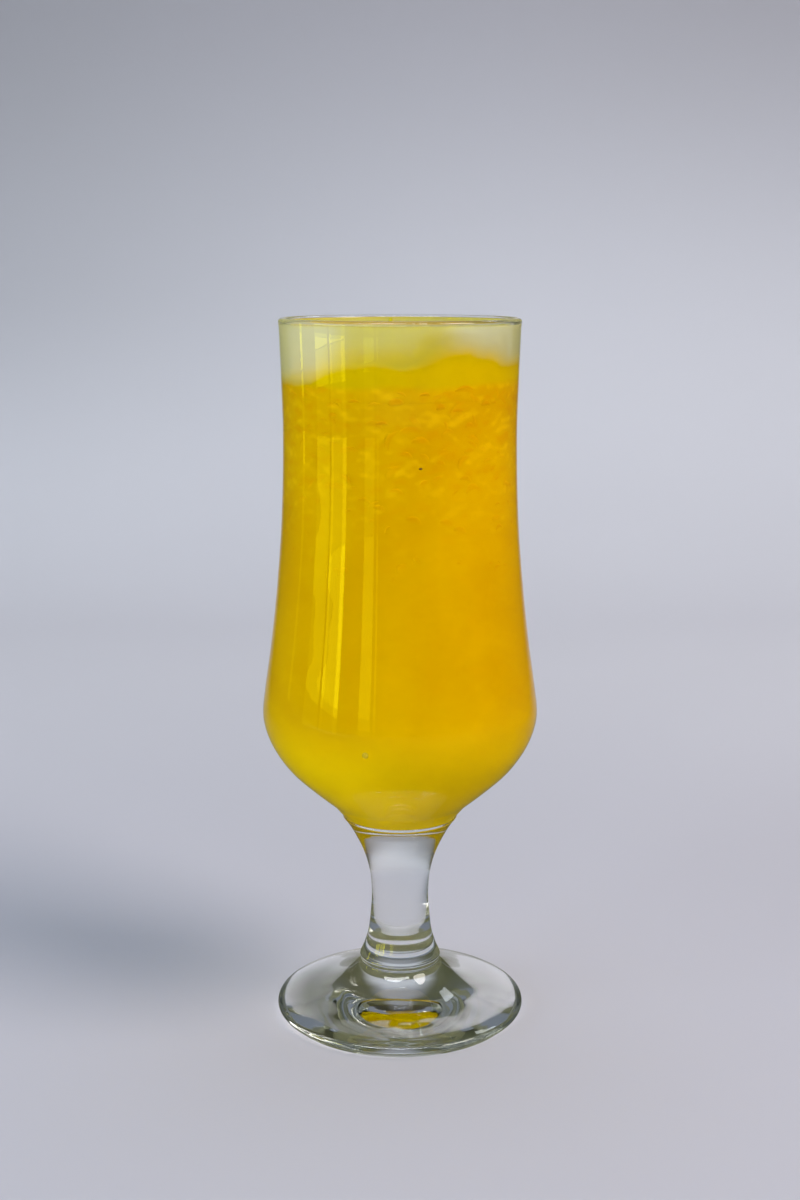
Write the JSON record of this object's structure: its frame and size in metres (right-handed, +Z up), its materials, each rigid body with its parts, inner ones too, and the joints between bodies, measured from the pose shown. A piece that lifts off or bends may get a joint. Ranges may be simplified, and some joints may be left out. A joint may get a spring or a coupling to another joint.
{
  "type": "glass of orange juice",
  "caption": "Footed tulip glass with a short stem and round foot, filled nearly to the rim with cloudy orange juice.",
  "frame": {"origin": "centre of the flat ring under the foot that the glass rests on", "axes": "+Z up along the axis of the turned glass; the glass is the same all round, so X and Y are free"},
  "size_m": [0.0738, 0.0738, 0.19],
  "materials": {
    "glass": "clear polished",
    "juice": "cloudy liquid"
  },
  "bodies": {
    "root": {"glass": "glass", "juice": "juice"}
  },
  "joints": []
}
